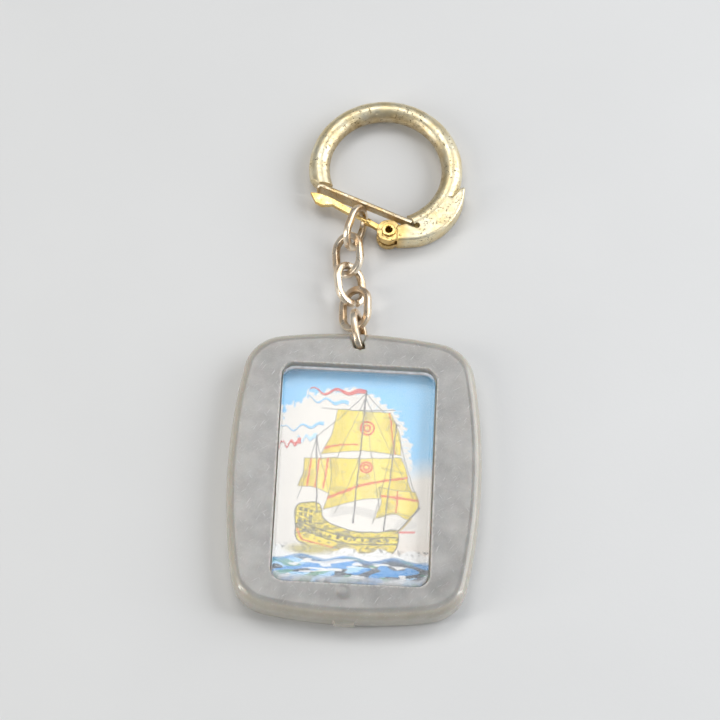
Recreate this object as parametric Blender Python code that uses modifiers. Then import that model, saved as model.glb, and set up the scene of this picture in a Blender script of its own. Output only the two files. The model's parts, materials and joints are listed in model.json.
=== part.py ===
"""Souvenir key ring: a clear plastic picture fob, five chain links and a hinged clasp ring.

Metres, +Z up. The key ring lies on the plane z = 0 with the fob's picture facing up and the chain
and ring beyond it along +Y. Plan places are measured from the centre of the picture window, and
plan_point() shifts them so that the whole key ring is centred on the origin.
"""
import math

import bmesh
import bpy
from mathutils import Euler, Matrix, Vector

MM = 0.001
PART_NAME = "keychain"

# Fob outline: four shallow arcs joined by round corners.
FOB_HALF_WIDTH = 19.4 * MM
FOB_HALF_HEIGHT = 23.5 * MM
FOB_SIDE_RADIUS = 95.0 * MM
FOB_END_RADIUS = 75.0 * MM
FOB_CORNER_RADIUS = 6.5 * MM
FOB_OFFSET_Y = 0.2 * MM
FOB_THICKNESS = 4.8 * MM
FOB_EDGE_ROUND = 1.5 * MM

# Picture pocket and what is stacked in it, from the pocket floor up.
WINDOW_WIDTH = 24.0 * MM
WINDOW_HEIGHT = 35.8 * MM
WINDOW_CORNER = 2.1 * MM
POCKET_FLOOR_Z = 1.3 * MM
STACK_GAP = 0.2 * MM
BACKING_THICKNESS = 0.3 * MM
PICTURE_THICKNESS = 0.2 * MM
CARD_INSET = 0.5 * MM
COVER_INSET = 0.2 * MM
COVER_END_CROWN = 1.3 * MM
COVER_SIDE_CROWN = 0.4

# Small moulding marks on the fob: the cut sprue at its foot and a round ejector mark.
SPRUE_X = -0.5 * MM
SPRUE_WIDTH = 3.0 * MM
SPRUE_LENGTH = 0.45 * MM
SPRUE_HEIGHT = 1.6 * MM
EJECTOR_PLACE = (-0.9 * MM, -19.2 * MM)
EJECTOR_RADIUS = 0.85 * MM
EJECTOR_PROUD = 0.12 * MM

# Chain links: flattened wire bent to an oval, all alike.
LINK_LENGTH = 7.7 * MM
LINK_WIDTH = 5.8 * MM
WIRE_WIDTH = 1.1 * MM
WIRE_THICKNESS = 1.0 * MM
WIRE_CORNER = 0.28 * MM
LINK_ARC_STEPS = 12
OPEN_LINK_GAP = 0.5 * MM
# Name, plan centre, lean of the long axis from +Y, and roll about it from lying flat.
LINK_PLACES = {
    "fob_link": ((-0.3 * MM, 24.35 * MM), 11.0, 70.0),
    "chain_link_3": ((-1.15 * MM, 28.65 * MM), 2.0, -36.0),
    "chain_link_2": ((-2.15 * MM, 32.85 * MM), 9.0, 36.0),
    "chain_link_1": ((-2.75 * MM, 37.95 * MM), 6.0, -40.0),
    "bar_link": ((-1.75 * MM, 42.5 * MM), -16.0, 68.0),
}
OPEN_LINK = "chain_link_2"

# The eye in the fob: an annular slot round a solid bridge, centred on the fob link's round end.
EYE_BRIDGE_CLEARANCE = 0.2 * MM
EYE_OUTER_CLEARANCE = 0.4 * MM
EYE_SLOT_WIDTH = 1.7 * MM
EYE_FLARE_WIDTH = 3.6 * MM
EYE_FLARE_DEPTH = 0.9 * MM

# Clasp ring: a round rod bent to an open ring, with its thumb fin and clevis cast on.
CLASP_LIFT = 0.5 * MM
ROD_RADIUS = 1.65 * MM
RING_RADIUS = 10.6 * MM
RING_CENTRE = (2.6 * MM, 53.4 * MM)
RING_START_ANGLE = -66.0
RING_END_ANGLE = 214.0
RING_STEPS = 60
ROD_SIDES = 16
# Plan corners of what is cut off the rod's free end: a bevel, then the face that meets the strip.
RING_END_CUT = (
    (-12.5 * MM, 53.0 * MM),
    (-9.9 * MM, 51.35 * MM),
    (-7.95 * MM, 49.8 * MM),
    (-3.5 * MM, 50.15 * MM),
    (-3.5 * MM, 43.0 * MM),
    (-12.5 * MM, 43.0 * MM),
)
CAST_HEIGHT = 3.25 * MM
CAST_EDGE_ROUND = 0.45 * MM
SHOULDER_X = 4.65 * MM
SHOULDER_LOW_Y = 40.25 * MM
SHOULDER_HIGH_Y = 43.0 * MM
SHOULDER_CORNER = 0.5 * MM
FIN_START = (8.0 * MM, 40.6 * MM)
FIN_MIDDLE = (13.95 * MM, 44.95 * MM)
FIN_TIP = (15.35 * MM, 50.6 * MM)
FIN_TIP_INNER = (14.35 * MM, 50.0 * MM)
FIN_ROOT = (13.3 * MM, 48.6 * MM)

# Clevis and pivot. The clearance arc lets the ring swing past the spring strip's tip.
PIVOT = (3.5 * MM, 42.0 * MM)
EAR_RADIUS = 1.9 * MM
EAR_TOP_Z = 3.6 * MM
EAR_GAP_LOW_Z = 1.6 * MM
EAR_GAP_HIGH_Z = 3.05 * MM
EAR_GAP_RADIUS = 2.15 * MM
BORE_RADIUS = 0.88 * MM
SWING_CLEARANCE_RADIUS = 4.15 * MM
TIP_HOLE_RADIUS = 0.45 * MM
RIVET_RADIUS = 0.76 * MM
RIVET_HOLE_RADIUS = 0.55 * MM
RIVET_FLANGE_RADIUS = 1.1 * MM
RIVET_FLANGE_HEIGHT = 0.28 * MM
RIVET_END_GAP = 0.08 * MM

# Hinge bar, on an axis through the pivot: +X runs from the claw to the pivot, +Y into the ring.
BAR_ANGLE = -28.9
BAR_MID_Z = 2.37 * MM
BAR_THICKNESS = 0.9 * MM
TONGUE_RADIUS = 1.75 * MM
TONGUE_ROD_HALF_WIDTH = 0.42 * MM
BEAD_FROM_PIVOT = 3.45 * MM
BEAD_LENGTH = 0.6 * MM
BEAD_RADIUS = 0.62 * MM
SEAT_RADIUS = 0.33 * MM
SEAT_OUTWARD = 0.06 * MM
BAR_FROM_PIVOT = 6.35 * MM
BAR_HALF_WIDTH = 0.5 * MM
OVERLAP = 0.15 * MM
CLAW_OUTLINE = (
    (-10.1 * MM, -0.5 * MM),
    (-11.5 * MM, -1.45 * MM),
    (-12.7 * MM, -1.5 * MM),
    (-14.25 * MM, -0.45 * MM),
    (-13.1 * MM, 0.1 * MM),
    (-11.6 * MM, 0.4 * MM),
    (-10.3 * MM, 0.5 * MM),
)

# Spring strip, thin stock on edge: +X runs from its root to its tip, +Y into the ring.
STRIP_ANGLE = -21.4
STRIP_OFFSET = 2.68 * MM
STRIP_THICKNESS = 0.36 * MM
STRIP_TIP_X = 2.75 * MM
STRIP_ROOT_X = -12.9 * MM
STRIP_BEND_RADIUS = 0.36 * MM
STRIP_LIP = 0.22 * MM
STRIP_TOP_Z = 3.85 * MM
STRIP_LOW_Z = 1.0 * MM
STRIP_STEP_X = -5.0 * MM
STRIP_STEP_Z = 2.0 * MM
STRIP_CLEARANCE = 0.3 * MM
FOOT_START_X = -6.6 * MM
FOOT_END_X = -5.7 * MM
FOOT_REACH_Y = 1.0 * MM
FOOT_THICKNESS = 0.35 * MM

ARC_STEPS = 10
THROUGH = 2.0 * MM
WELD_DISTANCE = 0.002 * MM
FLAT_ANGLE = 0.1

RING_TOP_Y = RING_CENTRE[1] + RING_RADIUS + ROD_RADIUS
FOB_FOOT_Y = FOB_OFFSET_Y - FOB_HALF_HEIGHT - SPRUE_LENGTH
CENTRE_Y = (RING_TOP_Y + FOB_FOOT_Y) / 2
ROUND_END = (LINK_LENGTH - LINK_WIDTH) / 2
END_WIRE = (LINK_LENGTH - WIRE_WIDTH) / 2


def plan_point(x, y, z=0.0):
    """World place of a plan point measured from the centre of the picture window."""
    return Vector((x, y - CENTRE_Y, z))


def clear_scene():
    for obj in list(bpy.data.objects):
        bpy.data.objects.remove(obj, do_unlink=True)


def new_collection(name):
    collection = bpy.data.collections.new(name)
    bpy.context.scene.collection.children.link(collection)
    return collection


def new_material(name, colour, roughness, metallic=0.0, transmission=0.0):
    material = bpy.data.materials.new(name)
    material.use_nodes = True
    shader = material.node_tree.nodes["Principled BSDF"]
    shader.inputs["Base Color"].default_value = (*colour, 1.0)
    shader.inputs["Roughness"].default_value = roughness
    shader.inputs["Metallic"].default_value = metallic
    shader.inputs["Transmission Weight"].default_value = transmission
    return material


# Outlines: lists of plan points.


def polar(centre, radius, degrees):
    angle = math.radians(degrees)
    return Vector((centre[0] + radius * math.cos(angle), centre[1] + radius * math.sin(angle)))


def arc(centre, radius, start, end, steps=ARC_STEPS):
    return [polar(centre, radius, start + (end - start) * i / steps) for i in range(steps + 1)]


def direction(centre, point):
    return math.degrees(math.atan2(point[1] - centre[1], point[0] - centre[0]))


def arc_through(first, middle, last, steps=ARC_STEPS):
    """Points on the arc that runs anticlockwise from first to last through middle."""
    ax, ay = first
    bx, by = middle
    cx, cy = last
    d = 2 * (ax * (by - cy) + bx * (cy - ay) + cx * (ay - by))
    a2, b2, c2 = ax * ax + ay * ay, bx * bx + by * by, cx * cx + cy * cy
    centre = (
        (a2 * (by - cy) + b2 * (cy - ay) + c2 * (ay - by)) / d,
        (a2 * (cx - bx) + b2 * (ax - cx) + c2 * (bx - ax)) / d,
    )
    radius = math.dist(centre, first)
    return arc(centre, radius, direction(centre, first), direction(centre, last), steps)


def rounded_rectangle(width, height, corner):
    x, y = width / 2 - corner, height / 2 - corner
    points = []
    for sx, sy, start in ((1, 1, 0), (-1, 1, 90), (-1, -1, 180), (1, -1, 270)):
        points += arc((sx * x, sy * y), corner, start, start + 90, steps=6)
    return points


def fob_outline():
    """A bulging rectangle: side and end arcs, with corner arcs tangent to both."""
    side_centre = Vector((FOB_HALF_WIDTH - FOB_SIDE_RADIUS, 0.0))
    end_centre = Vector((0.0, FOB_HALF_HEIGHT - FOB_END_RADIUS))
    reach_side = FOB_SIDE_RADIUS - FOB_CORNER_RADIUS
    reach_end = FOB_END_RADIUS - FOB_CORNER_RADIUS
    span = (end_centre - side_centre).length
    along = (span ** 2 + reach_side ** 2 - reach_end ** 2) / (2 * span)
    across = math.sqrt(reach_side ** 2 - along ** 2)
    unit = (end_centre - side_centre) / span
    corner = side_centre + unit * along + Vector((-unit.y, unit.x)) * across
    side_end = direction(side_centre, corner)
    end_start = direction(end_centre, corner)
    quarter = arc(side_centre, FOB_SIDE_RADIUS, 0, side_end)
    quarter += arc(corner, FOB_CORNER_RADIUS, side_end, end_start)[1:]
    quarter += arc(end_centre, FOB_END_RADIUS, end_start, 90)[1:]
    right_half = [Vector((p.x, -p.y)) for p in reversed(quarter)] + quarter[1:]
    left_half = [Vector((-p.x, p.y)) for p in reversed(right_half)]
    return right_half + left_half[1:-1]


def thick_path(points, thickness):
    """Outline of a strip whose middle line runs through the points."""
    left, right = [], []
    for i, point in enumerate(points):
        before, after = points[max(i - 1, 0)], points[min(i + 1, len(points) - 1)]
        along = (Vector(after) - Vector(before)).normalized()
        side = Vector((-along.y, along.x)) * thickness / 2
        left.append(Vector(point) + side)
        right.append(Vector(point) - side)
    return left + list(reversed(right))


# Solids.


def mesh_of_curve(curve_object):
    """Closed mesh of a curve object, which is removed."""
    depsgraph = bpy.context.evaluated_depsgraph_get()
    mesh = bpy.data.meshes.new_from_object(curve_object.evaluated_get(depsgraph))
    curve = curve_object.data
    bpy.data.objects.remove(curve_object)
    bpy.data.curves.remove(curve)
    edit = bmesh.new()
    edit.from_mesh(mesh)
    bmesh.ops.remove_doubles(edit, verts=edit.verts, dist=WELD_DISTANCE)
    bmesh.ops.recalc_face_normals(edit, faces=edit.faces)
    edit.to_mesh(mesh)
    edit.free()
    return mesh


def new_curve(name, points, cyclic=True):
    curve = bpy.data.curves.new(name, "CURVE")
    curve.dimensions = "2D"
    spline = curve.splines.new("POLY")
    spline.points.add(len(points) - 1)
    for spline_point, point in zip(spline.points, points):
        spline_point.co = (point[0], point[1], 0.0, 1.0)
    spline.use_cyclic_u = cyclic
    obj = bpy.data.objects.new(name, curve)
    bpy.context.scene.collection.objects.link(obj)
    return obj


def plate_mesh(name, points, low, high):
    """A flat outline given thickness from the height low to the height high."""
    obj = new_curve(name, points)
    obj.data.fill_mode = "BOTH"
    obj.data.extrude = (high - low) / 2
    mesh = mesh_of_curve(obj)
    mesh.transform(Matrix.Translation((0, 0, (low + high) / 2)))
    merge_flat_faces(mesh)
    return mesh


def merge_flat_faces(mesh):
    """Make one face of each flat side, so that a bevel along its rim keeps its full width."""
    edit = bmesh.new()
    edit.from_mesh(mesh)
    bmesh.ops.dissolve_limit(
        edit, angle_limit=math.radians(FLAT_ANGLE), verts=edit.verts, edges=edit.edges
    )
    edit.to_mesh(mesh)
    edit.free()


def cylinder_mesh(name, radius, low, high, sides=24):
    mesh = bpy.data.meshes.new(name)
    edit = bmesh.new()
    bmesh.ops.create_cone(
        edit, cap_ends=True, segments=sides, radius1=radius, radius2=radius, depth=high - low
    )
    bmesh.ops.translate(edit, verts=edit.verts, vec=(0, 0, (low + high) / 2))
    edit.to_mesh(mesh)
    edit.free()
    return mesh


def box_mesh(name, low, high):
    mesh = bpy.data.meshes.new(name)
    edit = bmesh.new()
    bmesh.ops.create_cube(edit, size=1.0)
    size = [b - a for a, b in zip(low, high)]
    middle = [(a + b) / 2 for a, b in zip(low, high)]
    bmesh.ops.scale(edit, verts=edit.verts, vec=size)
    bmesh.ops.translate(edit, verts=edit.verts, vec=middle)
    edit.to_mesh(mesh)
    edit.free()
    return mesh


def turned_object(name, profile, collection, steps=32):
    """A closed profile of (radius, height) points, turned about the Z axis."""
    mesh = bpy.data.meshes.new(name)
    edit = bmesh.new()
    verts = [edit.verts.new((radius, 0.0, height)) for radius, height in profile]
    for a, b in zip(verts, verts[1:] + verts[:1]):
        edit.edges.new((a, b))
    edit.to_mesh(mesh)
    edit.free()
    obj = bpy.data.objects.new(name, mesh)
    collection.objects.link(obj)
    screw = obj.modifiers.new("Turn", "SCREW")
    screw.steps = steps
    screw.render_steps = steps
    screw.use_merge_vertices = True
    screw.merge_threshold = WELD_DISTANCE
    return obj


def add_part(name, mesh, material, collection):
    obj = bpy.data.objects.new(name, mesh)
    collection.objects.link(obj)
    obj.data.materials.append(material)
    obj.data.shade_smooth()
    obj.data.set_sharp_from_angle(angle=math.radians(35))
    return obj


def round_edges(obj, width, segments, least_angle=40.0):
    bevel = obj.modifiers.new("Round", "BEVEL")
    bevel.width = width
    bevel.segments = segments
    bevel.limit_method = "ANGLE"
    bevel.angle_limit = math.radians(least_angle)


def use_tool(obj, tool, operation, tools):
    """Cut a part with a tool, or join the tool to it. The tool is a guide, not a part."""
    for collection in list(tool.users_collection):
        collection.objects.unlink(tool)
    tools.objects.link(tool)
    tool.hide_render = True
    tool.display_type = "WIRE"
    tool.parent = obj
    boolean = obj.modifiers.new(tool.name, "BOOLEAN")
    boolean.operation = operation
    boolean.object = tool


def tool_object(name, mesh, tools, matrix=Matrix()):
    obj = bpy.data.objects.new(name, mesh)
    tools.objects.link(obj)
    obj.matrix_basis = matrix
    return obj


# Frames of the chain links and of the joints between the bodies.


def link_rest_height(roll):
    """Height of a link's centre when its lower side lies on the plane z = 0."""
    angle = math.radians(abs(roll))
    return (LINK_WIDTH * math.sin(angle) + WIRE_THICKNESS * math.cos(angle)) / 2


def link_frame(name):
    centre, lean, roll = LINK_PLACES[name]
    turn = Euler((0.0, math.radians(roll), 0.0)).to_matrix().to_4x4()
    heading = Matrix.Rotation(math.radians(lean), 4, "Z")
    return Matrix.Translation(plan_point(*centre, link_rest_height(roll))) @ heading @ turn


def axis_frame(link, pivot):
    """Frame at a pivot whose Z axis is the link's flat side's normal."""
    return Matrix.Translation(pivot) @ link_frame(link).to_3x3().to_4x4()


def eye_frame():
    return axis_frame("fob_link", link_frame("fob_link") @ Vector((0, -ROUND_END, 0)))


def clasp_frame():
    return axis_frame("bar_link", link_frame("bar_link") @ Vector((0, ROUND_END, 0)))


def pivot_frame(degrees=0.0):
    place = Matrix.Translation(plan_point(*PIVOT))
    return place @ Matrix.Rotation(math.radians(degrees), 4, "Z")


def add_axis(name, world, parent, collection):
    """An empty on a joint's axis, which its moving pieces hang from."""
    empty = bpy.data.objects.new(name, None)
    empty.empty_display_size = LINK_WIDTH
    collection.objects.link(empty)
    empty.matrix_basis = world
    if parent:
        hang(empty, parent)
    return empty


def hang(obj, parent):
    """Parent an object that already stands in its place in the world."""
    bpy.context.view_layer.update()
    obj.parent = parent
    obj.matrix_parent_inverse = parent.matrix_world.inverted()


# Fob.


def build_fob_body(parts, tools):
    plastic = new_material("clear_plastic", (0.80, 0.79, 0.74), 0.28, transmission=0.9)
    mesh = plate_mesh("fob_body", fob_outline(), 0.0, FOB_THICKNESS)
    body = add_part("fob_body", mesh, plastic, parts)
    round_edges(body, FOB_EDGE_ROUND, 5)

    sprue = box_mesh(
        "fob_sprue",
        (SPRUE_X - SPRUE_WIDTH / 2, -FOB_HALF_HEIGHT - SPRUE_LENGTH, -SPRUE_HEIGHT / 2),
        (SPRUE_X + SPRUE_WIDTH / 2, -FOB_HALF_HEIGHT + FOB_EDGE_ROUND, SPRUE_HEIGHT / 2),
    )
    sprue.transform(Matrix.Translation((0, 0, FOB_THICKNESS / 2)))
    use_tool(body, tool_object("fob_sprue", sprue, tools), "UNION", tools)

    mark_x, mark_y = EJECTOR_PLACE
    mark = cylinder_mesh(
        "fob_ejector_mark", EJECTOR_RADIUS, FOB_THICKNESS - STACK_GAP, FOB_THICKNESS + EJECTOR_PROUD
    )
    place = Matrix.Translation((mark_x, mark_y - FOB_OFFSET_Y, 0))
    use_tool(body, tool_object("fob_ejector_mark", mark, tools, place), "UNION", tools)

    pocket_outline = rounded_rectangle(WINDOW_WIDTH, WINDOW_HEIGHT, WINDOW_CORNER)
    pocket = plate_mesh("fob_pocket", pocket_outline, POCKET_FLOOR_Z, FOB_THICKNESS + THROUGH)
    place = Matrix.Translation((0, -FOB_OFFSET_Y, 0))
    use_tool(body, tool_object("fob_pocket", pocket, tools, place), "DIFFERENCE", tools)

    home = Matrix.Translation(plan_point(0, FOB_OFFSET_Y))
    inner = LINK_WIDTH / 2 - WIRE_WIDTH - EYE_BRIDGE_CLEARANCE
    outer = LINK_WIDTH / 2 + EYE_OUTER_CLEARANCE
    half = EYE_SLOT_WIDTH / 2
    slot = turned_object(
        "fob_eye_slot",
        [(outer, half), (outer, -half), (inner, -half), (inner, half)],
        tools,
        steps=48,
    )
    slot.matrix_basis = home.inverted() @ eye_frame()
    use_tool(body, slot, "DIFFERENCE", tools)

    eye = home.inverted() @ eye_frame().translation
    foot_y = eye.y - outer
    flare_outline = (
        (eye.x, foot_y),
        (eye.x + EYE_FLARE_WIDTH / 2, FOB_HALF_HEIGHT + THROUGH),
        (eye.x - EYE_FLARE_WIDTH / 2, FOB_HALF_HEIGHT + THROUGH),
    )
    flare = plate_mesh(
        "fob_eye_flare", flare_outline, FOB_THICKNESS - EYE_FLARE_DEPTH, FOB_THICKNESS + THROUGH
    )
    use_tool(body, tool_object("fob_eye_flare", flare, tools), "DIFFERENCE", tools)

    body.matrix_basis = home
    return body


def build_card(name, low, thickness, colour, parts):
    paper = new_material(name + "_paper", colour, 0.7)
    outline = rounded_rectangle(
        WINDOW_WIDTH - 2 * CARD_INSET, WINDOW_HEIGHT - 2 * CARD_INSET, WINDOW_CORNER - CARD_INSET
    )
    card = add_part(name, plate_mesh(name, outline, 0.0, thickness), paper, parts)
    card.location = plan_point(0, 0, low)
    return card


def build_window_cover(low, parts):
    clear = new_material("clear_window", (0.95, 0.95, 0.93), 0.1, transmission=0.95)
    outline = rounded_rectangle(
        WINDOW_WIDTH - 2 * COVER_INSET,
        WINDOW_HEIGHT - 2 * COVER_INSET,
        WINDOW_CORNER - COVER_INSET,
    )
    height = FOB_THICKNESS - low
    cover = add_part("window_cover", plate_mesh("window_cover", outline, 0, height), clear, parts)
    crown_cover_ends(cover.data, height)
    bevel = cover.modifiers.new("Crown", "BEVEL")
    bevel.width = COVER_END_CROWN
    bevel.segments = 4
    bevel.limit_method = "WEIGHT"
    cover.location = plan_point(0, 0, low)
    return cover


def crown_cover_ends(mesh, height):
    """Weight the top rim for a wide round-over at the ends and a narrow one along the sides."""
    weights = mesh.attributes.new("bevel_weight_edge", "FLOAT", "EDGE")
    for edge in mesh.edges:
        a, b = (mesh.vertices[i].co for i in edge.vertices)
        on_top = min(a.z, b.z) > height / 2
        if not on_top:
            continue
        run = (b - a).normalized()
        weights.data[edge.index].value = COVER_SIDE_CROWN + (1 - COVER_SIDE_CROWN) * abs(run.x)


def build_fob(parts, tools):
    body = build_fob_body(parts, tools)
    backing_z = POCKET_FLOOR_Z + STACK_GAP
    picture_z = backing_z + BACKING_THICKNESS + STACK_GAP
    cover_z = picture_z + PICTURE_THICKNESS + STACK_GAP
    backing = build_card("backing_card", backing_z, BACKING_THICKNESS, (0.62, 0.56, 0.44), parts)
    picture = build_card("picture_card", picture_z, PICTURE_THICKNESS, (0.88, 0.84, 0.72), parts)
    cover = build_window_cover(cover_z, parts)
    for piece in (backing, picture, cover):
        hang(piece, body)
    return body


# Chain.


def wire_section():
    """Cross-section of the flattened link wire: a rectangle with cut corners."""
    x, y, c = WIRE_WIDTH / 2, WIRE_THICKNESS / 2, WIRE_CORNER
    return [
        (x, y - c),
        (x - c, y),
        (c - x, y),
        (-x, y - c),
        (-x, c - y),
        (c - x, -y),
        (x - c, -y),
        (x, c - y),
    ]


def link_path(is_open):
    """Middle line of the wire: two straight sides and two round ends."""
    radius = (LINK_WIDTH - WIRE_WIDTH) / 2
    top = arc((0, ROUND_END), radius, 0, 180, LINK_ARC_STEPS)
    bottom = arc((0, -ROUND_END), radius, 180, 360, LINK_ARC_STEPS)
    if not is_open:
        return top + bottom
    half_gap = math.degrees(OPEN_LINK_GAP / 2 / radius)
    gap_at = 270 - 2 * half_gap
    left = arc((0, -ROUND_END), radius, 180, gap_at - half_gap, LINK_ARC_STEPS // 2)
    right = arc((0, -ROUND_END), radius, gap_at + half_gap, 360, LINK_ARC_STEPS // 2)
    return right + top + left


def link_mesh(name, is_open):
    section = new_curve(name + "_section", wire_section())
    wire = new_curve(name, link_path(is_open), cyclic=not is_open)
    wire.data.fill_mode = "NONE"
    wire.data.bevel_mode = "OBJECT"
    wire.data.bevel_object = section
    wire.data.use_fill_caps = is_open
    mesh = mesh_of_curve(wire)
    bpy.data.objects.remove(section)
    return mesh


def build_link(name, material, axis, parts):
    link = add_part(name, link_mesh(name, name == OPEN_LINK), material, parts)
    link.matrix_basis = link_frame(name)
    hang(link, axis)


def build_chain(body, parts):
    """The links in order from the fob to the clasp, each hinged on the one before."""
    gilt = new_material("worn_gilt_wire", (0.83, 0.70, 0.47), 0.3, metallic=1.0)
    parent, world = body, eye_frame()
    for name in LINK_PLACES:
        axis = add_axis(name + "_axis", world, parent, parts)
        build_link(name, gilt, axis, parts)
        parent = axis
        following = list(LINK_PLACES)[list(LINK_PLACES).index(name) + 1 :]
        if following:
            contact = link_frame(name) @ Vector((0, END_WIRE, 0))
            world = axis_frame(following[0], contact)
    return parent


# Clasp.


def bar_piece(outline):
    low = BAR_MID_Z - BAR_THICKNESS / 2
    return plate_mesh("bar_piece", outline, low, low + BAR_THICKNESS)


def bar_shaft(name, radius, start, end, offset_y, tools):
    """A round length of the bar, from start to end along its axis."""
    turn = Matrix.Rotation(math.radians(90), 4, "Y")
    place = pivot_frame(BAR_ANGLE) @ Matrix.Translation((0, offset_y, BAR_MID_Z)) @ turn
    return tool_object(name, cylinder_mesh(name, radius, start, end, sides=16), tools, place)


def build_hinge_bar(axis, parts, tools):
    gilt = new_material("gilt_bar", (0.86, 0.62, 0.24), 0.32, metallic=1.0)
    half_angle = 180 - math.degrees(math.asin(TONGUE_ROD_HALF_WIDTH / TONGUE_RADIUS))
    tongue = arc((0, 0), TONGUE_RADIUS, -half_angle, half_angle, steps=28)
    tongue += [
        (-BEAD_FROM_PIVOT - OVERLAP, TONGUE_ROD_HALF_WIDTH),
        (-BEAD_FROM_PIVOT - OVERLAP, -TONGUE_ROD_HALF_WIDTH),
    ]
    bar = add_part("hinge_bar", bar_piece(tongue), gilt, parts)
    bar.matrix_basis = pivot_frame(BAR_ANGLE)

    arm_outline = (
        (-BAR_FROM_PIVOT, BAR_HALF_WIDTH),
        *reversed(CLAW_OUTLINE),
        (-BAR_FROM_PIVOT, -BAR_HALF_WIDTH),
    )
    arm = tool_object("bar_arm", bar_piece(arm_outline), tools, pivot_frame(BAR_ANGLE))
    bead_end = -BEAD_FROM_PIVOT - BEAD_LENGTH
    bead = bar_shaft("bar_bead", BEAD_RADIUS, bead_end, -BEAD_FROM_PIVOT, 0, tools)
    seat_ends = (-BAR_FROM_PIVOT - OVERLAP, bead_end + OVERLAP)
    seat = bar_shaft("bar_seat", SEAT_RADIUS, *seat_ends, -SEAT_OUTWARD, tools)
    bore = cylinder_mesh("bar_bore", BORE_RADIUS, 0, EAR_TOP_Z)
    bore = tool_object("bar_bore", bore, tools, pivot_frame())
    join_in_place(bar, (bead, seat, arm), "UNION", tools)
    join_in_place(bar, (bore,), "DIFFERENCE", tools)
    hang(bar, axis)
    return bar


def join_in_place(obj, pieces, operation, tools):
    """Use tools that already stand in their places in the world."""
    bpy.context.view_layer.update()
    for piece in pieces:
        use_tool(obj, piece, operation, tools)
        piece.matrix_parent_inverse = obj.matrix_world.inverted()


def build_spring_strip(axis, parts, tools):
    spring = new_material("spring_stock", (0.78, 0.66, 0.45), 0.38, metallic=1.0)
    bend_centre = (STRIP_ROOT_X, STRIP_OFFSET - STRIP_BEND_RADIUS)
    path = [(STRIP_TIP_X, STRIP_OFFSET)]
    path += arc(bend_centre, STRIP_BEND_RADIUS, 90, 180, steps=6)
    path.append((STRIP_ROOT_X - STRIP_BEND_RADIUS, bend_centre[1] - STRIP_LIP))
    mesh = plate_mesh("spring_strip", thick_path(path, STRIP_THICKNESS), STRIP_LOW_Z, STRIP_TOP_Z)
    strip = add_part("spring_strip", mesh, spring, parts)
    strip.matrix_basis = pivot_frame(STRIP_ANGLE)

    step = box_mesh(
        "strip_step",
        (STRIP_STEP_X, STRIP_OFFSET - THROUGH, STRIP_LOW_Z - THROUGH),
        (STRIP_TIP_X + THROUGH, STRIP_OFFSET + THROUGH, STRIP_STEP_Z),
    )
    foot = box_mesh(
        "strip_foot",
        (FOOT_START_X, FOOT_REACH_Y, STRIP_LOW_Z),
        (FOOT_END_X, STRIP_OFFSET, STRIP_LOW_Z + FOOT_THICKNESS),
    )
    step = tool_object("strip_step", step, tools, pivot_frame(STRIP_ANGLE))
    foot = tool_object("strip_foot", foot, tools, pivot_frame(STRIP_ANGLE))
    join_in_place(strip, (step,), "DIFFERENCE", tools)
    join_in_place(strip, (foot,), "UNION", tools)
    hang(strip, axis)
    return strip


def ring_rod_mesh():
    """The round rod, spun about the ring's centre, which is the mesh's origin."""
    mesh = bpy.data.meshes.new("ring_rod")
    edit = bmesh.new()
    turn = Matrix.Rotation(math.radians(90), 4, "X")
    place = Matrix.Translation((RING_RADIUS, 0, CLASP_LIFT + ROD_RADIUS)) @ turn
    disc = bmesh.ops.create_circle(
        edit, cap_ends=True, segments=ROD_SIDES, radius=ROD_RADIUS, matrix=place
    )
    bmesh.ops.rotate(
        edit, verts=disc["verts"], matrix=Matrix.Rotation(math.radians(RING_START_ANGLE), 3, "Z")
    )
    start = list(edit.faces)
    bmesh.ops.spin(
        edit,
        geom=start,
        axis=(0, 0, 1),
        angle=math.radians(RING_END_ANGLE - RING_START_ANGLE),
        steps=RING_STEPS,
        use_duplicate=False,
    )
    bmesh.ops.recalc_face_normals(edit, faces=edit.faces)
    edit.to_mesh(mesh)
    edit.free()
    return mesh


def cast_outline():
    """Plan outline of the shoulder and the thumb fin, closed inside the ring's rod."""
    low, high, corner = SHOULDER_LOW_Y, SHOULDER_HIGH_Y, SHOULDER_CORNER
    outline = arc((SHOULDER_X + corner, low + corner), corner, 180, 270, steps=4)
    outline += arc_through(FIN_START, FIN_MIDDLE, FIN_TIP, steps=18)
    outline += [FIN_TIP_INNER, FIN_ROOT]
    root_angle = direction(RING_CENTRE, FIN_ROOT)
    outline += arc(RING_CENTRE, RING_RADIUS, root_angle, RING_START_ANGLE + 2, steps=12)
    outline.append((SHOULDER_X, high))
    return outline


def swing_outline():
    """The segment of a circle round the pivot that the strip's tip needs as the ring swings."""
    chord = STRIP_OFFSET - STRIP_THICKNESS / 2 - STRIP_CLEARANCE
    start = math.degrees(math.asin(chord / SWING_CLEARANCE_RADIUS))
    return arc((0, 0), SWING_CLEARANCE_RADIUS, start, 180 - start, steps=24)


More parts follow.
